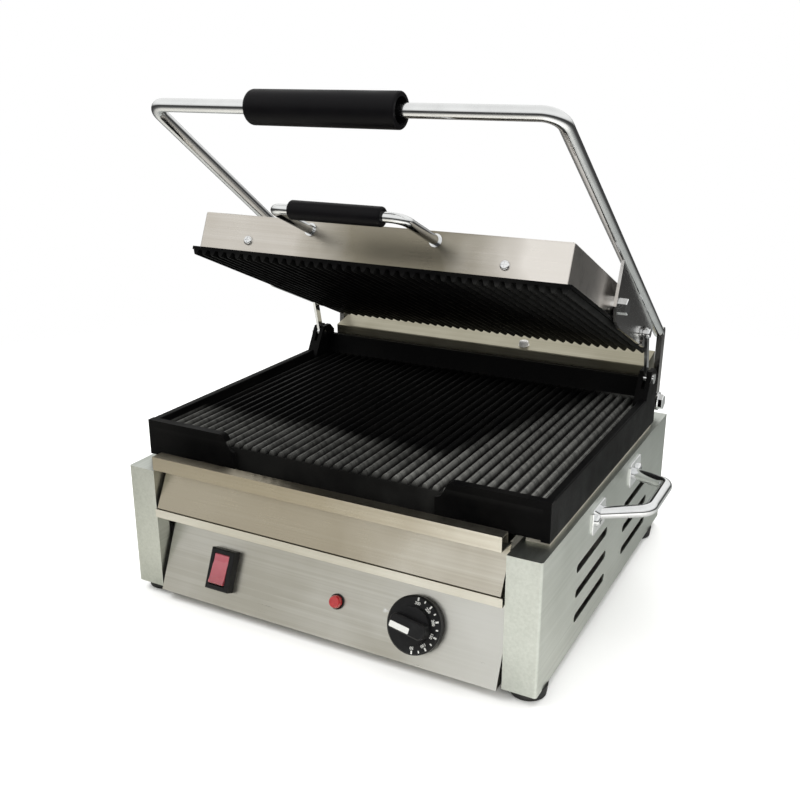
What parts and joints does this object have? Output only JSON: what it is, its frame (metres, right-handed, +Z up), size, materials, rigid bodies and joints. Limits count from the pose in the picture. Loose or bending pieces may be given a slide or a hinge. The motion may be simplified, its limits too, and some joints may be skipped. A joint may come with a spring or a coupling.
{
  "type": "panini press",
  "caption": "Countertop contact grill: ribbed lower plate in a stainless body, tilting ribbed platen on a bent tube lever, drip tray, rocker switch and thermostat knob.",
  "frame": {"origin": "on the ground under the middle of the whole object", "axes": "+X to the right across the front, +Y towards the back, +Z up"},
  "size_m": [0.524, 0.4293, 0.4896],
  "materials": {
    "steel_side": "fine horizontal grain, slightly greenish grey",
    "steel_front": "long horizontal grain, warm grey",
    "steel_top": "polished with light grain, warm grey",
    "steel_plain": "mill finish sheet",
    "cast_iron": "black, seasoned, satin",
    "fibre": "mineral fibre",
    "element": "heat-darkened tube",
    "zinc_steel": "zinc plated",
    "ceramic_white": "glazed ceramic",
    "copper": "copper tube",
    "black_plastic": "moulded, semi-matte",
    "red_plastic": "translucent red",
    "red_lens": "translucent red lens",
    "chrome": "mirror bright",
    "spring_steel": "oiled spring wire",
    "rubber": "matte black",
    "grip": "black phenolic, satin gloss",
    "hanger_steel": "polished plate"
  },
  "bodies": {
    "base": {"side_panel_left": "steel_side", "side_panel_right": "steel_side", "base_pan": "steel_plain", "rear_panel": "steel_side", "control_panel": "steel_front", "tray_shelf": "steel_front", "lower_plate": "cast_iron", "plate_gaskets": "fibre", "lower_element": "element", "lower_clamps": "zinc_steel", "heat_shield": "steel_plain", "thermostat_body": "ceramic_white", "thermostat_bulb": "copper", "terminal_block": "ceramic_white", "switch_housing": "black_plastic", "pilot_lamp_body": "black_plastic", "pilot_lens": "red_lens", "cable_gland": "black_plastic", "hinge_cover": "steel_front", "hinge_brackets": "zinc_steel", "hinge_shaft": "zinc_steel", "hinge_bolts": "chrome", "counter_springs": "spring_steel", "spring_collars": "zinc_steel", "feet": "rubber", "foot_screws": "zinc_steel", "body_screws": "chrome", "side_handle_left": "chrome", "side_handle_right": "chrome", "escutcheons": "chrome", "handle_nuts": "zinc_steel", "handle_screws": "chrome", "link_pins": "chrome"},
    "lever": {"lever_tube": "chrome", "main_grip": "grip", "hanger_left": "hanger_steel", "hanger_right": "hanger_steel", "upright_left": "hanger_steel", "upright_right": "hanger_steel", "platen_bolts": "chrome"},
    "platen": {"upper_plate": "cast_iron", "platen_housing": "steel_top", "upper_element": "element", "upper_clamps": "zinc_steel", "upper_insulation": "fibre", "front_bail": "chrome", "front_grip": "grip", "bail_nuts": "chrome", "housing_screws": "chrome", "pivot_spacers": "chrome", "link_studs": "chrome"},
    "link_l": {"link_left": "chrome"},
    "link_r": {"link_right": "chrome"},
    "tray": {"drip_tray": "steel_front"},
    "knob": {"knob": "black_plastic", "thermostat_spindle": "zinc_steel"},
    "rocker": {"switch_rocker": "red_plastic"}
  },
  "joints": [
    {"name": "lever_swing", "type": "hinge", "parent": "base", "child": "lever", "pos_m": [0, 0.18855, 0.1535], "axis": [1, 0, 0], "range_deg": [0, 31.85]},
    {"name": "platen_tilt", "type": "hinge", "parent": "lever", "child": "platen", "pos_m": [0, 0.03855, 0.292], "axis": [1, 0, 0], "range_deg": [-8.55, 0.2]},
    {"name": "link_l_swing", "type": "hinge", "parent": "base", "child": "link_l", "pos_m": [-0.2037, 0.13575, 0.195], "axis": [1, 0, 0], "range_deg": [-0.2, 88.7]},
    {"name": "link_r_swing", "type": "hinge", "parent": "base", "child": "link_r", "pos_m": [0.2037, 0.13575, 0.195], "axis": [1, 0, 0], "range_deg": [-0.2, 88.7]},
    {"name": "tray_slide", "type": "slide", "parent": "base", "child": "tray", "axis": [0, -1, 0], "range_m": [0, 0.24]},
    {"name": "knob_turn", "type": "hinge", "parent": "base", "child": "knob", "pos_m": [0.0995, -0.19165, 0.04359], "axis": [0, -0.9188, 0.3948], "range_deg": [-270, 0]},
    {"name": "rocker_tip", "type": "hinge", "parent": "base", "child": "rocker", "pos_m": [-0.111, -0.19395, 0.04458], "axis": [1, 0, 0], "range_deg": [0, 14]}
  ],
  "couplings": [
    {"joint": "platen_tilt", "follows": "lever_swing", "ratio": -0.26211},
    {"joint": "link_l_swing", "follows": "lever_swing", "ratio": 2.7787},
    {"joint": "link_r_swing", "follows": "lever_swing", "ratio": 2.7787}
  ]
}
